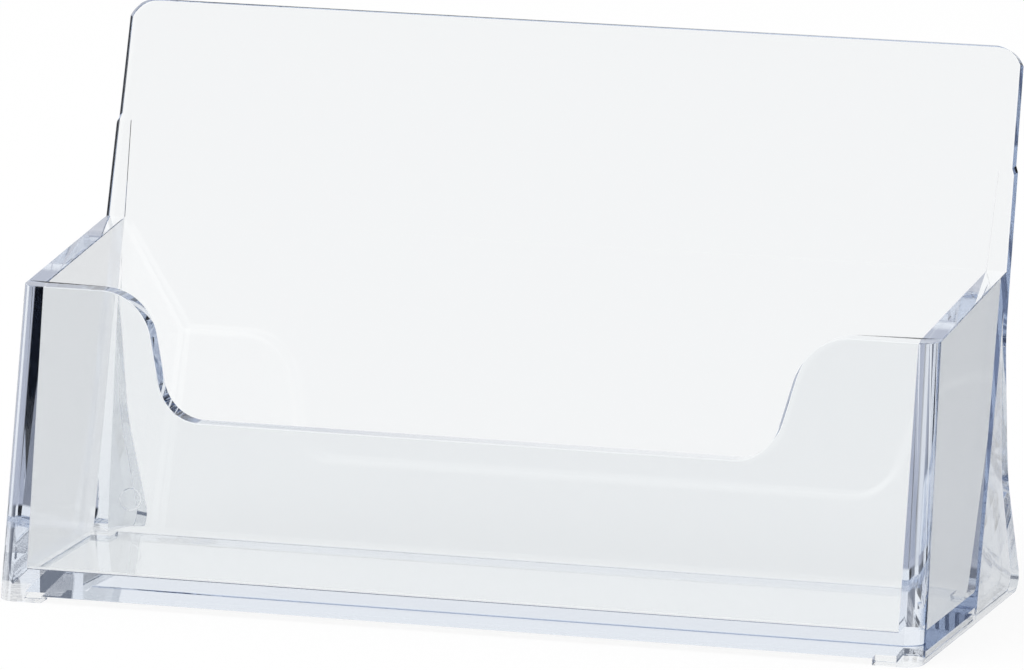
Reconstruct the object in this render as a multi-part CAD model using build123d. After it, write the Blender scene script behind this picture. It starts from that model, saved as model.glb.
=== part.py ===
# Clear moulded desk stand for business cards, modelled wall by wall.
# X runs along the width, Y from front to back and Z up from the table.
# The origin is under the middle of the stand, on the table.
# Sizes are in millimetres and angles in degrees.
import os
from math import cos, radians, sin, tan

from build123d import *

# Overall sizes
base_width = 98.4             # outer width at the table
overall_height = 55.3         # top edge of the back panel's front face
front_height = 31.3           # top edge of the front panel
wall_rise = 2.3               # rise of a side wall's top edge from the front panel to the back panel

# Leans and moulding drafts
front_lean = 13.2             # front panel, backwards from upright
back_lean = 18.5              # back panel, backwards from upright
outer_draft = 0.84            # outer side faces, narrowing upwards
inner_draft = 0.35            # inner side faces, widening upwards

# Walls
pocket_depth = 18.45          # between the front and back panels at table level
side_foot_thickness = 2.8     # side wall at the table
front_thickness = 1.9         # measured along Y
back_foot_thickness = 2.1     # back panel at the table, measured along Y
back_top_thickness = 1.4      # back panel at its top edge, which is cut square to the panel
floor_thickness = 2.1
base_clearance = 0.65         # gap under the floor and under both panels, between the feet
foot_width = 5.0              # uncut bottom corners of both panels

# Roundings
front_corner_radius = 1.8     # upright outer corners of the front panel
top_corner_radius = 3.0       # top corners of the back panel

# Finger notch in the front panel
notch_depth = 12.5
notch_shoulder = 15.5         # from the stand's side at the table to the notch at half its depth
notch_side_lean = 14.6        # sides of the notch, outwards from upright
notch_radius = 4.8

# Shoulders, above which the back panel is a little narrower than the stand below
shoulder_height = 43.2
shoulder_step = 0.23          # on each side

# Rear gussets
gusset_edge = 8.65            # upright upper part of the rear edge, from the back panel at table level
gusset_reach = 12.6           # foot behind the back panel at table level
gusset_flare = 17.6           # lower rear edge, forwards from upright
gusset_radius = 15.0          # bend between the upright part and the flared foot
gusset_foot_radius = 1.7
gusset_foot_thickness = 4.0   # at the table
gusset_draft = 3.3            # inner faces, which leave the gussets thinner upwards

# Places worked out from the sizes above
back_foot_y = front_thickness + pocket_depth
back_top_y = back_foot_y + overall_height * tan(radians(back_lean)) + back_top_thickness * cos(radians(back_lean))
overall_depth = max(back_top_y, back_foot_y + back_foot_thickness + gusset_reach)
front_edge_y = -overall_depth / 2
back_rear_top = overall_height - back_top_thickness * sin(radians(back_lean))
floor_top = base_clearance + floor_thickness
wall_rear_height = front_height + wall_rise
reach_past = 1.5 * max(base_width, overall_height, overall_depth)


def front_outer_y(z):
    return front_edge_y + z * tan(radians(front_lean))


def front_inner_y(z):
    return front_outer_y(z) + front_thickness


def back_inner_y(z):
    return front_edge_y + back_foot_y + z * tan(radians(back_lean))


def back_outer_y(z):
    # A straight line from the foot to the rear of the top edge
    foot = back_inner_y(0) + back_foot_thickness
    return foot + z / back_rear_top * (front_edge_y + back_top_y - foot)


def outer_x(z):
    return base_width / 2 - z * tan(radians(outer_draft))


def inner_x(z):
    return base_width / 2 - side_foot_thickness + z * tan(radians(inner_draft))


def side_prism(outline):
    # An outline drawn in Y and Z, carried across the whole width
    return extrude(Plane.YZ * outline, amount=reach_past, both=True)


def front_prism(outline):
    # An outline drawn in X and Z, carried from front to back
    return extrude(Plane.XZ * outline, amount=reach_past, both=True)


def polygon(*corners):
    return make_face(Polyline(*corners, close=True))


def corners_at(outline, *places):
    # The vertices of a flat outline that lie at the given places
    return [outline.vertices().sort_by_distance(Vector(*place, 0))[0] for place in places]


def relief_x():
    # Inner end of a foot under the front or back panel
    return base_width / 2 - foot_width


def panel_outline(top, rim):
    # Front view of a full-width panel on two feet, closed along the top by the given rim
    relief = relief_x()
    return polygon(
        (-outer_x(0), 0), (-relief, 0), (-relief, base_clearance),
        (relief, base_clearance), (relief, 0), (outer_x(0), 0),
        (outer_x(top), top), *rim, (-outer_x(top), top),
    )


def make_front_panel():
    notch_floor = front_height - notch_depth
    half_notch = base_width / 2 - notch_shoulder
    side_run = notch_depth / 2 * tan(radians(notch_side_lean))
    lip = half_notch + side_run
    bed = half_notch - side_run
    notch = [(lip, front_height), (bed, notch_floor), (-bed, notch_floor), (-lip, front_height)]
    front_view = panel_outline(front_height, notch)
    front_view = fillet(corners_at(front_view, *notch), notch_radius)
    side_view = polygon(
        (front_outer_y(0), 0), (front_inner_y(0), 0),
        (front_inner_y(front_height), front_height), (front_outer_y(front_height), front_height),
    )
    panel = side_prism(side_view) & front_prism(front_view)
    outer_edges = panel.edges().filter_by(lambda edge: abs(edge.center().X) > relief_x())
    front_uprights = outer_edges.filter_by(GeomType.LINE).sort_by(Edge.length)[-4:].sort_by(Axis.Y)[:2]
    return fillet(front_uprights, front_corner_radius)


def make_back_panel():
    side_view = polygon(
        (back_inner_y(0), 0), (back_outer_y(0), 0),
        (back_outer_y(back_rear_top), back_rear_top), (back_inner_y(overall_height), overall_height),
    )
    ledge = outer_x(shoulder_height) - shoulder_step
    top = outer_x(overall_height) - shoulder_step
    upper_part = [
        (ledge, shoulder_height), (top, overall_height), (-top, overall_height), (-ledge, shoulder_height),
    ]
    panel = side_prism(side_view) & front_prism(panel_outline(shoulder_height, upper_part))
    top_face = panel.faces().sort_by(Axis.Z)[-1]
    corner_edges = top_face.edges().sort_by(Edge.length)[:2]
    return fillet(corner_edges, top_corner_radius)


def make_floor_plate():
    front_view = polygon(
        (-inner_x(base_clearance), base_clearance), (inner_x(base_clearance), base_clearance),
        (inner_x(floor_top), floor_top), (-inner_x(floor_top), floor_top),
    )
    side_view = polygon(
        (front_inner_y(base_clearance), base_clearance), (back_inner_y(base_clearance), base_clearance),
        (back_inner_y(floor_top), floor_top), (front_inner_y(floor_top), floor_top),
    )
    return side_prism(side_view) & front_prism(front_view)


def right_section(top, foot_thickness, draft):
    # Front view of a right-hand wall, from the table up
    inner_foot = base_width / 2 - foot_thickness
    inner_top = inner_foot + top * tan(radians(draft))
    return polygon((inner_foot, 0), (outer_x(0), 0), (outer_x(top), top), (inner_top, top))


def make_right_side_wall():
    side_view = polygon(
        (front_inner_y(0), 0), (back_inner_y(0), 0),
        (back_inner_y(wall_rear_height), wall_rear_height), (front_inner_y(front_height), front_height),
    )
    front_view = right_section(wall_rear_height, side_foot_thickness, inner_draft)
    return side_prism(side_view) & front_prism(front_view)


def make_right_rear_gusset():
    rear_lean = (back_outer_y(back_rear_top) - back_outer_y(0)) / back_rear_top
    gusset_top = gusset_edge / rear_lean
    edge_y = back_outer_y(gusset_top)
    bend = (edge_y, (gusset_reach - gusset_edge) / tan(radians(gusset_flare)))
    foot = (back_outer_y(0) + gusset_reach, 0)
    side_view = polygon((back_outer_y(0), 0), foot, bend, (edge_y, gusset_top))
    side_view = fillet(corners_at(side_view, bend), gusset_radius)
    side_view = fillet(corners_at(side_view, foot), gusset_foot_radius)
    front_view = right_section(gusset_top, gusset_foot_thickness, gusset_draft)
    return side_prism(side_view) & front_prism(front_view)


right_side_wall = make_right_side_wall()
right_rear_gusset = make_right_rear_gusset()
pieces = {
    "front_panel": make_front_panel(),
    "back_panel": make_back_panel(),
    "floor_plate": make_floor_plate(),
    "right_side_wall": right_side_wall,
    "left_side_wall": mirror(right_side_wall, about=Plane.YZ),
    "right_rear_gusset": right_rear_gusset,
    "left_rear_gusset": mirror(right_rear_gusset, about=Plane.YZ),
}

os.makedirs("parts", exist_ok=True)
for name, piece in pieces.items():
    export_step(piece, f"parts/{name}.step")
    box = piece.bounding_box()
    print(name, "volume", round(piece.volume, 1), "from", box.min, "to", box.max)
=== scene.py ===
from math import ceil, cos, pi, radians, sin, tan

import bmesh
import bpy
from mathutils import Matrix, Vector


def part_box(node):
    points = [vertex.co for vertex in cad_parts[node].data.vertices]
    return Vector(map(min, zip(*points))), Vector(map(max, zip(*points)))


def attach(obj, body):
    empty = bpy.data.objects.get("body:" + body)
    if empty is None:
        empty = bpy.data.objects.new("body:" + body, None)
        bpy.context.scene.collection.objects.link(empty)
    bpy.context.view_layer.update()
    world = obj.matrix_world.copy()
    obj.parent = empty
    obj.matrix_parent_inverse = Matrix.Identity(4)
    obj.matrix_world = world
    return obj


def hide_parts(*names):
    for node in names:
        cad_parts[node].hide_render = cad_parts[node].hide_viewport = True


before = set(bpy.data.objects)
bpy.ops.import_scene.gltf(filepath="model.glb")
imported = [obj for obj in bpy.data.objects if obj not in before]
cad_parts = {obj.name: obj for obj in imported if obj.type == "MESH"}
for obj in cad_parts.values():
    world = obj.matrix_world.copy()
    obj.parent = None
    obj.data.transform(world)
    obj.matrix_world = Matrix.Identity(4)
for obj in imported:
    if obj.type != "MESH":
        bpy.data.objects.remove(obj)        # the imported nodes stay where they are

mm = 0.001
near = 0.02 * mm         # points closer than this count as touching
weld = 0.001 * mm        # points closer than this are made one
scene = bpy.context.scene
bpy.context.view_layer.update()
print("frame loaded:", len(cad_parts), "nodes")


# Sizes of the moulding, read off the CAD nodes

frontLow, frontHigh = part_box("front_panel")
backLow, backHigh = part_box("back_panel")
floorLow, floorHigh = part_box("floor_plate")
wallLow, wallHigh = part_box("right_side_wall")
gussetLow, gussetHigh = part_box("right_rear_gusset")


def widestAt(node, height):
    return max(v.co.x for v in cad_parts[node].data.vertices if abs(v.co.z - height) < near)


frontSlope = (frontHigh.y - wallLow.y) / frontHigh.z
backSlope = (wallHigh.y - backLow.y) / wallHigh.z
rearTop = max(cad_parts["back_panel"].data.vertices, key=lambda v: v.co.y).co.z
rearSlope = (backHigh.y - gussetLow.y) / rearTop
outerSlope = (widestAt("right_side_wall", wallHigh.z) - wallHigh.x) / wallHigh.z
innerSlope = (widestAt("floor_plate", floorHigh.z) - wallLow.x) / floorHigh.z


def frontOuterY(z):
    return frontLow.y + frontSlope * z


def frontInnerY(z):
    return wallLow.y + frontSlope * z


def backInnerY(z):
    return backLow.y + backSlope * z


def backOuterY(z):
    return gussetLow.y + rearSlope * z


def innerX(z):
    return wallLow.x + innerSlope * z


def outerX(z):
    return wallHigh.x + outerSlope * z


# Flat outlines with rounded corners

arcStep = radians(3)     # turn between two points of a rounding


def roundedOutline(corners):
    # each corner is (across, up, radius)
    points = []
    for i, (across, up, radius) in enumerate(corners):
        here = Vector((across, up))
        if not radius:
            points.append(here)
            continue
        before = (Vector(corners[i - 1][:2]) - here).normalized()
        after = (Vector(corners[(i + 1) % len(corners)][:2]) - here).normalized()
        half = before.angle(after) / 2
        middle = here + (before + after).normalized() * (radius / sin(half))
        spoke = here + before * (radius / tan(half)) - middle
        leftTurn = after.x * before.y - after.y * before.x > 0
        sweep = (pi - 2 * half) * (1 if leftTurn else -1)
        steps = ceil(abs(sweep) / arcStep)
        for k in range(steps + 1):
            points.append(middle + Matrix.Rotation(sweep * k / steps, 2) @ spoke)
    return points


def faceObject(name, points):
    mesh = bpy.data.meshes.new(name)
    mesh.from_pydata([tuple(p) for p in points], [], [list(range(len(points)))])
    piece = bpy.data.objects.new(name, mesh)
    scene.collection.objects.link(piece)
    return piece


def plainMesh(piece):
    bpy.context.view_layer.update()
    evaluated = piece.evaluated_get(bpy.context.evaluated_depsgraph_get())
    mesh = bpy.data.meshes.new_from_object(evaluated)
    piece.modifiers.clear()
    piece.data = mesh
    return piece


# Material

clearPlasticLook = {
    "ior": 1.53,
    "tint": (0.99, 1, 1, 1),     # what is left of white light behind one wall
    "depthTint": (0.05, 0.25, 0.58, 1),
    "depthDensity": 8.5,         # per metre
    "cloudScale": 90,            # the clouds set clean places off from handled ones
    "cloudDetail": 6,
    "cloudRange": (0.35, 0.75),
    "polish": (0.0, 0.012),      # roughness from the best to the most handled places
}


def clearPlastic():
    look = clearPlasticLook
    material = bpy.data.materials.new("clear_plastic")
    material.use_nodes = True
    nodes, links = material.node_tree.nodes, material.node_tree.links
    shader = nodes["Principled BSDF"]
    shader.inputs["Base Color"].default_value = look["tint"]
    shader.inputs["Transmission Weight"].default_value = 1
    shader.inputs["IOR"].default_value = look["ior"]
    place = nodes.new("ShaderNodeTexCoord")
    cloud = nodes.new("ShaderNodeTexNoise")
    cloud.inputs["Scale"].default_value = look["cloudScale"]
    cloud.inputs["Detail"].default_value = look["cloudDetail"]
    links.new(place.outputs["Object"], cloud.inputs["Vector"])
    polish = nodes.new("ShaderNodeMapRange")
    polish.inputs["From Min"].default_value = look["cloudRange"][0]
    polish.inputs["From Max"].default_value = look["cloudRange"][1]
    polish.inputs["To Min"].default_value = look["polish"][0]
    polish.inputs["To Max"].default_value = look["polish"][1]
    links.new(cloud.outputs["Fac"], polish.inputs["Value"])
    links.new(polish.outputs["Result"], shader.inputs["Roughness"])
    # the walls are one moulding, so the faces where two of them meet can't be seen
    seam = nodes.new("ShaderNodeAttribute")
    seam.attribute_name = "seam"
    through = nodes.new("ShaderNodeBsdfTransparent")
    surface = nodes.new("ShaderNodeMixShader")
    links.new(seam.outputs["Fac"], surface.inputs["Fac"])
    links.new(shader.outputs["BSDF"], surface.inputs[1])
    links.new(through.outputs["BSDF"], surface.inputs[2])
    links.new(surface.outputs["Shader"], nodes["Material Output"].inputs["Surface"])
    absorb = nodes.new("ShaderNodeVolumeAbsorption")
    absorb.inputs["Color"].default_value = look["depthTint"]
    absorb.inputs["Density"].default_value = look["depthDensity"]
    links.new(absorb.outputs["Volume"], nodes["Material Output"].inputs["Volume"])
    return material


plastic = clearPlastic()


# Geometry nodes: a side view carried across the width, with drafted ends

def draftedPrismTree():
    tree = bpy.data.node_groups.new("draftedPrism", "GeometryNodeTree")
    sockets = tree.interface
    sockets.new_socket("Side View", in_out="INPUT", socket_type="NodeSocketGeometry")
    sockets.new_socket("Half Width", in_out="INPUT", socket_type="NodeSocketFloat")
    sockets.new_socket("Side Slope", in_out="INPUT", socket_type="NodeSocketFloat")
    sockets.new_socket("Material", in_out="INPUT", socket_type="NodeSocketMaterial")
    sockets.new_socket("Prism", in_out="OUTPUT", socket_type="NodeSocketGeometry")
    nodes, links = tree.nodes, tree.links
    given = nodes.new("NodeGroupInput")
    made = nodes.new("NodeGroupOutput")
    extrude = nodes.new("GeometryNodeExtrudeMesh")
    extrude.inputs["Offset Scale"].default_value = 2       # along its normal, from x = -1 to x = 1
    extrude.inputs["Individual"].default_value = False
    flip = nodes.new("GeometryNodeFlipFaces")
    join = nodes.new("GeometryNodeJoinGeometry")
    merge = nodes.new("GeometryNodeMergeByDistance")
    merge.inputs["Distance"].default_value = weld
    links.new(given.outputs["Side View"], extrude.inputs["Mesh"])
    links.new(given.outputs["Side View"], flip.inputs["Mesh"])
    links.new(extrude.outputs["Mesh"], join.inputs["Geometry"])
    links.new(flip.outputs["Mesh"], join.inputs["Geometry"])
    links.new(join.outputs["Geometry"], merge.inputs["Geometry"])
    place = nodes.new("GeometryNodeInputPosition")
    apart = nodes.new("ShaderNodeSeparateXYZ")
    halfAt = nodes.new("ShaderNodeMath")
    halfAt.operation = "MULTIPLY_ADD"
    across = nodes.new("ShaderNodeMath")
    across.operation = "MULTIPLY"
    together = nodes.new("ShaderNodeCombineXYZ")
    spread = nodes.new("GeometryNodeSetPosition")
    links.new(place.outputs["Position"], apart.inputs["Vector"])
    links.new(apart.outputs["Z"], halfAt.inputs[0])
    links.new(given.outputs["Side Slope"], halfAt.inputs[1])
    links.new(given.outputs["Half Width"], halfAt.inputs[2])
    links.new(apart.outputs["X"], across.inputs[0])
    links.new(halfAt.outputs["Value"], across.inputs[1])
    links.new(across.outputs["Value"], together.inputs["X"])
    links.new(apart.outputs["Y"], together.inputs["Y"])
    links.new(apart.outputs["Z"], together.inputs["Z"])
    links.new(merge.outputs["Geometry"], spread.inputs["Geometry"])
    links.new(together.outputs["Vector"], spread.inputs["Position"])
    realize = nodes.new("GeometryNodeRealizeInstances")
    finish = nodes.new("GeometryNodeSetMaterial")
    links.new(spread.outputs["Geometry"], realize.inputs["Geometry"])
    links.new(realize.outputs["Geometry"], finish.inputs["Geometry"])
    links.new(given.outputs["Material"], finish.inputs["Material"])
    links.new(finish.outputs["Geometry"], made.inputs["Prism"])
    return tree


draftedPrismNodes = draftedPrismTree()


def draftedPrism(name, sideView, halfWidth, sideSlope):
    piece = faceObject(name, [(-1, p.x, p.y) for p in sideView])
    prism = piece.modifiers.new("prism", "NODES")
    prism.node_group = draftedPrismNodes
    values = {"Half Width": halfWidth, "Side Slope": sideSlope, "Material": plastic}
    for item in draftedPrismNodes.interface.items_tree:
        if item.in_out == "INPUT" and item.name in values:
            prism[item.identifier] = values[item.name]
    return plainMesh(piece)


def straightPrism(name, points, along):
    piece = faceObject(name, points)
    bm = bmesh.new()
    bm.from_mesh(piece.data)
    out = bmesh.ops.extrude_face_region(bm, geom=bm.faces[:], use_keep_orig=True)
    bmesh.ops.translate(bm, vec=along, verts=[v for v in out["geom"] if isinstance(v, bmesh.types.BMVert)])
    bmesh.ops.recalc_face_normals(bm, faces=bm.faces[:])
    bm.to_mesh(piece.data)
    bm.free()
    return piece


def bevelEdges(bm, edges, width, segments):
    bmesh.ops.bevel(bm, geom=edges, offset=width, offset_type="OFFSET", segments=segments, profile=0.5,
                    affect="EDGES", clamp_overlap=False, miter_outer="SHARP", miter_inner="SHARP")


# The outer block, before anything is taken out of it

rearGusset = {
    "edge": 8.65 * mm,           # upright part of the rear edge, from the back panel at table level
    "reach": 12.6 * mm,          # foot behind the back panel
    "flare": radians(17.6),
    "bendRadius": 15.0 * mm,
    "topRadius": 20.0 * mm,      # where the rear edge runs into the back panel
    "footRadius": 1.7 * mm,
    "draft": radians(3.3),       # inner faces
}
frontUpright = {"radius": 1.8 * mm, "segments": 16}
panelTop = {"radius": 3.0 * mm, "segments": 24}
longAcross = 2 * mm              # an edge that runs further than this along X isn't an upright or a corner
shoulder = {"height": 43.2 * mm, "step": 0.23 * mm, "length": 0.6 * mm}


def outerBlock():
    g = rearGusset
    edgeY = backOuterY(0) + g["edge"]
    bendZ = (g["reach"] - g["edge"]) / tan(g["flare"])
    sideView = roundedOutline([
        (frontOuterY(0), 0, 0),
        (backOuterY(0) + g["reach"], 0, g["footRadius"]),
        (edgeY, bendZ, g["bendRadius"]),
        (edgeY, g["edge"] / rearSlope, g["topRadius"]),
        (backOuterY(rearTop), rearTop, 0),
        (backInnerY(backHigh.z), backHigh.z, 0),
        (backInnerY(wallHigh.z), wallHigh.z, 0),
        (frontInnerY(frontHigh.z), frontHigh.z, 0),
        (frontOuterY(frontHigh.z), frontHigh.z, 0),
    ])
    block = draftedPrism("outer_block", sideView, wallHigh.x, outerSlope)
    bm = bmesh.new()
    bm.from_mesh(block.data)
    uprights = []
    topCorners = []
    for edge in bm.edges:
        low, high = sorted((v.co for v in edge.verts), key=lambda co: co.z)
        if abs(low.x - high.x) > longAcross:
            continue
        if all(abs(co.y - frontOuterY(co.z)) < near for co in (low, high)):
            uprights.append(edge)
        if low.z > rearTop - near:
            topCorners.append(edge)
    print("rounding", len(uprights), "uprights and", len(topCorners), "top corners")
    bevelEdges(bm, uprights, frontUpright["radius"], frontUpright["segments"])
    topCorners = [e for e in topCorners if e.is_valid]
    bevelEdges(bm, topCorners, panelTop["radius"], panelTop["segments"])
    bmesh.ops.recalc_face_normals(bm, faces=bm.faces[:])
    bm.to_mesh(block.data)
    bm.free()
    return block


# What is taken out: the pocket, the shoulders, the rear, the gap underneath, the notch and the fine marks

cardPocket = {"rearCove": 0.9 * mm, "frontCove": 0.35 * mm}
footSize = {"width": 5.0 * mm}
mouldLine = {
    "width": 0.07 * mm,          # of the V at the panel's surface
    "depth": 0.1 * mm,
    "spread": 0.28 * mm,         # how far the line leaves the wall's slope on its way up
}
pinMark = {
    "place": (-43.16 * mm, 5.34 * mm),
    "radius": 1.1 * mm,
    "depth": 0.05 * mm,
    "slant": 1.2,                # how far the dish's wall leans out for its height
    "points": 48,
    "cutterLength": 1 * mm,
}
fingerNotch = {
    "depth": 12.5 * mm,
    "shoulder": 15.5 * mm,       # from the side at the table to the notch at half its depth
    "sideLean": radians(14.6),
    "lipRadius": 6.0 * mm,
    "bedRadius": 4.8 * mm,
}
past = 5 * mm                    # how far a cutter reaches past the plastic


def pocketCore():
    top = wallHigh.z + past
    inset = past / 4             # the core narrows above the rims, clear of the back panel
    sideView = roundedOutline([
        (frontInnerY(floorHigh.z), floorHigh.z, cardPocket["frontCove"]),
        (backInnerY(floorHigh.z), floorHigh.z, cardPocket["rearCove"]),
        (backInnerY(wallHigh.z), wallHigh.z, 0),
        (backInnerY(wallHigh.z) - inset, top, 0),
        (frontInnerY(frontHigh.z) + inset, top, 0),
        (frontInnerY(frontHigh.z), frontHigh.z, 0),
    ])
    return draftedPrism("pocket_core", sideView, wallLow.x, innerSlope)


def shoulderCutter(side):
    low = shoulder["height"] - shoulder["length"] / 2
    high = shoulder["height"] + shoulder["length"] / 2
    step = shoulder["step"]
    top = backHigh.z + past
    run = (outerX(low) - outerX(high) + step) / (high - low)
    lead = 1 * mm                # the slope is carried on outside the plastic
    frontView = [
        (outerX(high) - step, high),
        (outerX(low) + run * lead, low - lead),
        (outerX(low) + past, low - lead),
        (outerX(low) + past, top),
        (outerX(top) - step, top),
    ]
    start = backInnerY(low) - past
    stop = backHigh.y + past
    points = [(side * x, start, z) for x, z in frontView]
    return straightPrism("shoulder_cutter", points, Vector((0, stop - start, 0)))


def mouldLineCutter(side):
    # a shallow V along the front of the back panel, from the wall's rim up to the shoulder
    low = Vector((side * innerX(wallHigh.z), backInnerY(wallHigh.z), wallHigh.z))
    top = shoulder["height"]
    high = Vector((side * (innerX(top) + mouldLine["spread"]), backInnerY(top), top))
    inwards = Vector((0, 1, -backSlope)).normalized()
    across = (high - low).cross(inwards).normalized() * mouldLine["width"]
    section = [low + across - inwards * mouldLine["depth"], low - across - inwards * mouldLine["depth"],
               low + inwards * mouldLine["depth"]]
    return straightPrism("mould_line_cutter", section, high - low)


def pinMarkCutter():
    # a shallow dish with a slanted wall in the rear of the back panel
    x, z = pinMark["place"]
    along = Vector((0, 1, -rearSlope)).normalized()
    up = Vector((0, rearSlope, 1)).normalized()
    middle = Vector((x, backOuterY(z), z)) - along * pinMark["depth"]
    turns = [2 * pi * k / pinMark["points"] for k in range(pinMark["points"])]
    rim = [middle + (Vector((cos(a), 0, 0)) + up * sin(a)) * pinMark["radius"] for a in turns]
    cutter = straightPrism("pin_mark_cutter", rim, along * pinMark["cutterLength"])
    for v in cutter.data.vertices:
        away = (v.co - middle).dot(along)
        v.co += (v.co - middle - along * away).normalized() * away * pinMark["slant"]
    return cutter


def rearCore():
    rear = backOuterY(0) + rearGusset["reach"] + past
    sideView = roundedOutline([
        (backOuterY(-past), -past, 0),
        (rear, -past, 0),
        (rear, gussetHigh.z + 2 * past, 0),
        (backOuterY(gussetHigh.z + 2 * past) + past, gussetHigh.z + 2 * past, 0),
        (backOuterY(gussetHigh.z + past), gussetHigh.z + past, 0),
    ])
    return draftedPrism("rear_core", sideView, gussetLow.x, tan(rearGusset["draft"]))


def underCut():
    # a cross in plan: as wide as the pocket between the panels, and stopped by a foot in each corner
    wide = wallLow.x
    narrow = wallHigh.x - footSize["width"]
    front = frontOuterY(0) - past
    rear = backOuterY(0) + rearGusset["reach"] + past
    inFront = frontInnerY(0)
    inRear = backInnerY(0)
    half = [(narrow, front), (narrow, inFront), (wide, inFront),
            (wide, inRear), (narrow, inRear), (narrow, rear)]
    plan = half + [(-x, y) for x, y in reversed(half)]
    return straightPrism("under_cut", [(x, y, -past) for x, y in plan], Vector((0, 0, past + floorLow.z)))


def notchCutter():
    n = fingerNotch
    top = frontHigh.z
    bed = top - n["depth"]
    halfWidth = wallHigh.x - n["shoulder"]
    run = n["depth"] / 2 * tan(n["sideLean"])
    lip = halfWidth + run
    foot = halfWidth - run
    # the rounding of the lip needs a level line to run out on, which then turns up and away
    corners = [(-lip - past, top, 0), (-lip, top, n["lipRadius"]), (-foot, bed, n["bedRadius"]),
               (foot, bed, n["bedRadius"]), (lip, top, n["lipRadius"]), (lip + past, top, 0)]
    frontView = roundedOutline(corners)[1:-1]
    frontView += [Vector((frontView[-1].x, top + past)), Vector((frontView[0].x, top + past))]
    start = frontOuterY(0) - past
    stop = backInnerY(bed) - past
    points = [(p.x, start, p.y) for p in frontView]
    return straightPrism("notch_cutter", points, Vector((0, stop - start, 0)))


softEdge = {
    "width": 0.1 * mm,
    "segments": 3,
    "sharperThan": radians(28),
    "lineSlack": 0.05 * mm,      # how near to the panel's front still counts as a mould line
    "markFrom": 1 * mm,          # how far behind the panel's front the pin mark may begin
}
flatAngle = radians(0.05)        # faces that turn by less than this are made one


def onMouldLine(co):
    slack = softEdge["lineSlack"]
    inside = abs(co.x) < innerX(co.z) + mouldLine["spread"] + 3 * mouldLine["width"]
    aboveRim = co.z > wallHigh.z - 5 * slack
    return inside and aboveRim and -2 * slack < co.y - backInnerY(co.z) < slack


def onPinMark(co):
    x, z = pinMark["place"]
    close = abs(co.x - x) + abs(co.z - z) < 3 * pinMark["radius"]
    return close and co.y > backInnerY(co.z) + softEdge["markFrom"]


def takesSoftEdge(edge):
    if not edge.is_manifold or not edge.is_convex or edge.calc_face_angle() < softEdge["sharperThan"]:
        return False
    ends = [v.co for v in edge.verts]
    return not all(onMouldLine(co) for co in ends) and not all(onPinMark(co) for co in ends)


def fusedShell():
    block = outerBlock()
    cutters = [pocketCore(), rearCore(), underCut(), notchCutter(), shoulderCutter(1), shoulderCutter(-1),
               mouldLineCutter(1), mouldLineCutter(-1), pinMarkCutter()]
    for cutter in cutters:
        cut = block.modifiers.new(cutter.name, "BOOLEAN")
        cut.operation = "DIFFERENCE"
        cut.solver = "EXACT"
        cut.object = cutter
    plainMesh(block)
    for cutter in cutters:
        bpy.data.objects.remove(cutter)
    bm = bmesh.new()
    bm.from_mesh(block.data)
    bmesh.ops.remove_doubles(bm, verts=bm.verts[:], dist=weld)
    bmesh.ops.dissolve_limit(bm, angle_limit=flatAngle, use_dissolve_boundaries=False,
                             verts=bm.verts[:], edges=bm.edges[:])
    bm.normal_update()
    sharp = [edge for edge in bm.edges if takesSoftEdge(edge)]
    bevelEdges(bm, sharp, softEdge["width"], softEdge["segments"])
    bmesh.ops.recalc_face_normals(bm, faces=bm.faces[:])
    print("shell:", len(bm.faces), "faces,", sum(not e.is_manifold for e in bm.edges), "open edges,",
          "volume", round(bm.calc_volume() * 1e9, 1), "mm3")
    bm.to_mesh(block.data)
    bm.free()
    return block


# The shell taken apart into the walls that it is made of

seamOffset = 0.4 * mm            # seams lie just off the inside corners
seamGap = 0.004 * mm
seamWeld = 0.002 * mm
onSeam = 1e-6 * mm               # points closer than this lie in the seam
shadeSharp = radians(12)         # edges that turn by more than this stay sharp in the shading


def shellPart(shell, name, node, planes):
    mesh = shell.data.copy()
    mesh.materials.clear()
    mesh.materials.append(plastic)
    bm = bmesh.new()
    bm.from_mesh(mesh)
    seam = bm.faces.layers.float.new("seam")
    for point, outwards in planes:
        bmesh.ops.bisect_plane(bm, geom=bm.verts[:] + bm.edges[:] + bm.faces[:], dist=onSeam,
                               plane_co=point - outwards * seamGap / 2, plane_no=outwards, clear_outer=True)
        bmesh.ops.remove_doubles(bm, verts=[v for v in bm.verts if v.is_boundary], dist=seamWeld)
        rim = [e for e in bm.edges if e.is_boundary]
        filled = bmesh.ops.triangle_fill(bm, edges=rim, normal=outwards, use_beauty=True)
        caps = [part for part in filled["geom"] if isinstance(part, bmesh.types.BMFace)]
        for cap in caps:
            cap[seam] = 1
        print("seam of", name, round(sum(cap.calc_area() for cap in caps) * 1e6, 3), "mm2")
    bmesh.ops.recalc_face_normals(bm, faces=bm.faces[:])
    for face in bm.faces:
        face.smooth = True
    openEdges = sum(not e.is_manifold for e in bm.edges)
    print(name, "faces", len(bm.faces), "open edges", openEdges,
          "volume", round(bm.calc_volume() * 1e9, 1), "mm3")
    bm.to_mesh(mesh)
    bm.free()
    mesh.set_sharp_from_angle(angle=shadeSharp)
    piece = bpy.data.objects.new(name, mesh)
    scene.collection.objects.link(piece)
    even = piece.modifiers.new("even", "WEIGHTED_NORMAL")
    even.keep_sharp = True
    even.weight = 100            # large faces decide
    plainMesh(piece)
    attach(piece, "root")
    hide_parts(node)
    return piece


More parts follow.
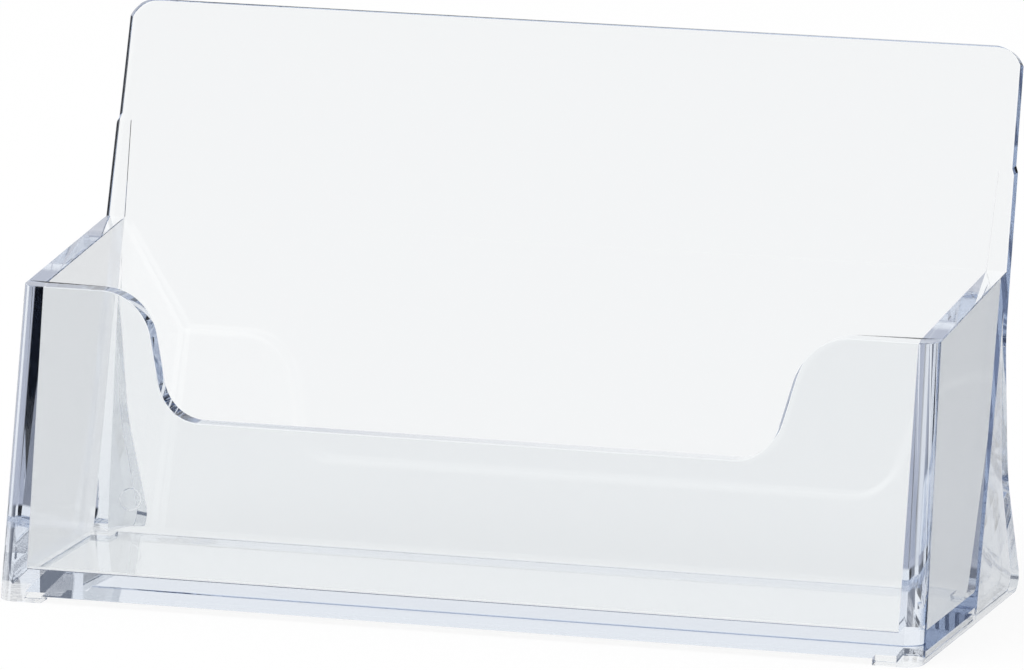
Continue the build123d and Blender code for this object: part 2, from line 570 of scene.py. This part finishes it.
def takeApart(shell):
    alongFront = Vector((0, 1, -frontSlope)).normalized()      # square to the front panel, backwards
    alongBack = Vector((0, 1, -backSlope)).normalized()
    alongRear = Vector((0, 1, -rearSlope)).normalized()
    frontSeam = Vector((0, frontInnerY(0) + seamOffset, 0))
    backSeam = Vector((0, backInnerY(0) - seamOffset, 0))
    rearSeam = Vector((0, backOuterY(0) + seamOffset, 0))
    between = [(frontSeam, -alongFront), (backSeam, alongBack)]
    shellPart(shell, "front_panel_clear", "front_panel", [(frontSeam, alongFront)])
    shellPart(shell, "back_panel_clear", "back_panel", [(backSeam, -alongBack), (rearSeam, alongRear)])
    floorSides = []
    for side, hand in ((1, "right"), (-1, "left")):
        inwards = Vector((-side, 0, innerSlope)).normalized()
        sideSeam = Vector((side * (innerX(0) - seamOffset), 0, 0))
        floorSides.append((sideSeam, -inwards))
        shellPart(shell, hand + "_side_wall_clear", hand + "_side_wall", between + [(sideSeam, inwards)])
        middle = (Vector((0, 0, 0)), Vector((-side, 0, 0)))    # leaves the gusset on this side
        shellPart(shell, hand + "_rear_gusset_clear", hand + "_rear_gusset", [(rearSeam, -alongRear), middle])
    shellPart(shell, "floor_plate_clear", "floor_plate", between + floorSides)


shell = fusedShell()
takeApart(shell)
bpy.data.objects.remove(shell)


# Floor, light and camera

studio = {
    "floorSize": 6.0,
    "floorColour": (1, 1, 1, 1),
    "shadowShare": 0.1,          # how much of the floor's white is lit, so that shadows show
    "skyLight": 0.57,            # what the sky gives the floor
}

# What reflections show, by the angle in degrees:
# 0 is the back, 90 overhead, 180 the front and -90 the table
white = (1, 1, 1, 1)
pale = (0.86, 0.865, 0.88, 1)
lavender = (0.5, 0.52, 0.6, 1)
shade = (0.38, 0.41, 0.5, 1)
grey = (0.22, 0.235, 0.27, 1)
slate = (0.1, 0.115, 0.155, 1)
dim = (0.08, 0.1, 0.16, 1)
black = (0, 0, 0, 1)

# Where the far side of the table turns into the back, on the left and on the right
leftEnd = (-18, -13)
rightEnd = (-20, -14)


def surroundings(front, deep, low, back, tableEnd):
    # front is what stands at the front, deep and low are under the far side of the table,
    # and back goes from there to overhead
    start, stop = tableEnd
    return [
        (-180, white), (-122, white), (-105, lavender), (-75, lavender), (-62, deep), (-45, deep),
        (-38, low), (start, low), (stop, back), (75, back),
        (95, pale), (147, pale), (152, front), (171, front), (176, pale),
    ]


farLeft = surroundings(pale, pale, pale, white, leftEnd)
# From left to right: where one side turns into the next along X, and what that one shows
fartherRight = [
    ((-0.5, -0.42), surroundings(dim, black, black, white, leftEnd)),
    ((-0.33, -0.29), surroundings(dim, shade, lavender, white, leftEnd)),
    ((-0.26, -0.2), surroundings(pale, shade, lavender, white, leftEnd)),
    ((-0.05, 0.15), surroundings(pale, shade, lavender, slate, rightEnd)),
    ((0.3, 0.325), surroundings(pale, shade, lavender, black, rightEnd)),
    ((0.35, 0.356), surroundings(pale, shade, lavender, grey, rightEnd)),
    ((0.55, 0.75), surroundings(pale, black, black, black, rightEnd)),
]


def mapRange(nodes, links, value, low, high, toLow, toHigh):
    ramp = nodes.new("ShaderNodeMapRange")
    ramp.inputs["From Min"].default_value = low
    ramp.inputs["From Max"].default_value = high
    ramp.inputs["To Min"].default_value = toLow
    ramp.inputs["To Max"].default_value = toHigh
    links.new(value, ramp.inputs["Value"])
    return ramp.outputs["Result"]


def mixColour(nodes, links, share, one, other):
    mix = nodes.new("ShaderNodeMix")
    mix.data_type = "RGBA"
    links.new(share, mix.inputs["Factor"])
    ends = [socket for socket in mix.inputs if socket.type == "RGBA"]
    links.new(one, ends[0])
    links.new(other, ends[1])
    return next(socket for socket in mix.outputs if socket.type == "RGBA")


def angleRamp(nodes, links, angle, stops):
    ramp = nodes.new("ShaderNodeValToRGB")
    points = ramp.color_ramp.elements
    while len(points) < len(stops):
        points.new(0.5)
    for point, (degrees, colour) in zip(points, stops):
        point.position = degrees / 360 + 0.5
        point.color = colour
    links.new(angle, ramp.inputs["Fac"])
    return ramp.outputs["Color"]


def mirroredRay(nodes, links):
    # 1 once a ray has been mirrored anywhere on its way, 0 for one that only passed through
    path = nodes.new("ShaderNodeLightPath")
    before, after = 0.4, 0.6     # between no mirroring and the first
    return mapRange(nodes, links, path.outputs["Glossy Depth"], before, after, 0, 1)


def whiteFloor():
    half = studio["floorSize"] / 2
    corners = [(-half, -half, 0), (half, -half, 0), (half, half, 0), (-half, half, 0)]
    floor = faceObject("studio_floor", corners)
    material = bpy.data.materials.new("studio_floor")
    material.use_nodes = True
    nodes, links = material.node_tree.nodes, material.node_tree.links
    nodes.remove(nodes["Principled BSDF"])
    matt = nodes.new("ShaderNodeBsdfDiffuse")
    matt.inputs["Color"].default_value = studio["floorColour"]
    glow = nodes.new("ShaderNodeEmission")
    glow.inputs["Color"].default_value = studio["floorColour"]
    lit = nodes.new("ShaderNodeMixShader")
    lit.inputs["Fac"].default_value = studio["shadowShare"]
    links.new(glow.outputs["Emission"], lit.inputs[1])
    links.new(matt.outputs["BSDF"], lit.inputs[2])
    away = nodes.new("ShaderNodeBsdfTransparent")
    mix = nodes.new("ShaderNodeMixShader")
    links.new(mirroredRay(nodes, links), mix.inputs["Fac"])
    links.new(lit.outputs["Shader"], mix.inputs[1])
    links.new(away.outputs["BSDF"], mix.inputs[2])
    links.new(mix.outputs["Shader"], nodes["Material Output"].inputs["Surface"])
    floor.data.materials.append(material)


def softWorld():
    world = bpy.data.worlds.new("studio_world")
    scene.world = world
    world.use_nodes = True
    nodes, links = world.node_tree.nodes, world.node_tree.links
    place = nodes.new("ShaderNodeTexCoord")
    apart = nodes.new("ShaderNodeSeparateXYZ")
    links.new(place.outputs["Generated"], apart.inputs["Vector"])
    around = nodes.new("ShaderNodeMath")
    around.operation = "ARCTAN2"
    links.new(apart.outputs["Z"], around.inputs[0])
    links.new(apart.outputs["Y"], around.inputs[1])
    angle = mapRange(nodes, links, around.outputs["Value"], -pi, pi, 0, 1)
    mirrored = angleRamp(nodes, links, angle, farLeft)
    for (start, stop), stops in fartherRight:
        share = mapRange(nodes, links, apart.outputs["X"], start, stop, 0, 1)
        mirrored = mixColour(nodes, links, share, mirrored, angleRamp(nodes, links, angle, stops))
    path = nodes.new("ShaderNodeLightPath")
    direct = mapRange(nodes, links, path.outputs["Is Diffuse Ray"], 0, 1, 1, studio["skyLight"])
    seen = mixColour(nodes, links, mirroredRay(nodes, links), direct, mirrored)
    links.new(seen, nodes["Background"].inputs["Color"])
    nodes["Background"].inputs["Strength"].default_value = 1


overheadBox = {"place": Vector((-0.3, -0.2, 1.2)), "aim": Vector((0, 0, 0)), "size": 0.8, "power": 8}


def softLamp(name, look):
    lamp = bpy.data.lights.new(name, "AREA")
    lamp.shape = "SQUARE"
    lamp.size = look["size"]
    lamp.energy = look["power"]
    holder = bpy.data.objects.new(name, lamp)
    holder.location = look["place"]
    holder.rotation_mode = "QUATERNION"
    holder.rotation_quaternion = (look["aim"] - look["place"]).to_track_quat("-Z", "Y")
    holder.visible_glossy = False
    holder.visible_transmission = False
    scene.collection.objects.link(holder)


photoView = {
    "yaw": radians(19.3256),
    "elevation": radians(12.5812),
    "roll": radians(-0.6376),
    "distance": 1131.55 * mm,
    "aim": Vector((-0.237, 0.156, 26.391)) * mm,
    "lens": 391.86,
    "sensor": 36,
    "clip": (0.05, 50),
}


def photoCamera():
    v = photoView
    yaw, elevation, roll = v["yaw"], v["elevation"], v["roll"]
    back = Vector((sin(yaw) * cos(elevation), -cos(yaw) * cos(elevation), sin(elevation)))
    right = Vector((cos(yaw), sin(yaw), 0))
    up = back.cross(right)
    rolledRight = right * cos(roll) + up * sin(roll)
    rolledUp = up * cos(roll) - right * sin(roll)
    data = bpy.data.cameras.new("photo_camera")
    data.sensor_width = v["sensor"]
    data.lens = v["lens"]
    data.clip_start, data.clip_end = v["clip"]
    camera = bpy.data.objects.new("photo_camera", data)
    turn = Matrix((rolledRight, rolledUp, back)).transposed()
    camera.matrix_world = Matrix.Translation(v["aim"] + back * v["distance"]) @ turn.to_4x4()
    scene.collection.objects.link(camera)
    scene.camera = camera


whiteFloor()
softWorld()
softLamp("overhead_box", overheadBox)
photoCamera()
scene.view_settings.view_transform = "Standard"
lightBounces = 64                # light crosses many clear walls
scene.cycles.max_bounces = lightBounces
scene.cycles.transmission_bounces = lightBounces
scene.cycles.glossy_bounces = lightBounces
scene.cycles.transparent_max_bounces = lightBounces
print("studio ready")
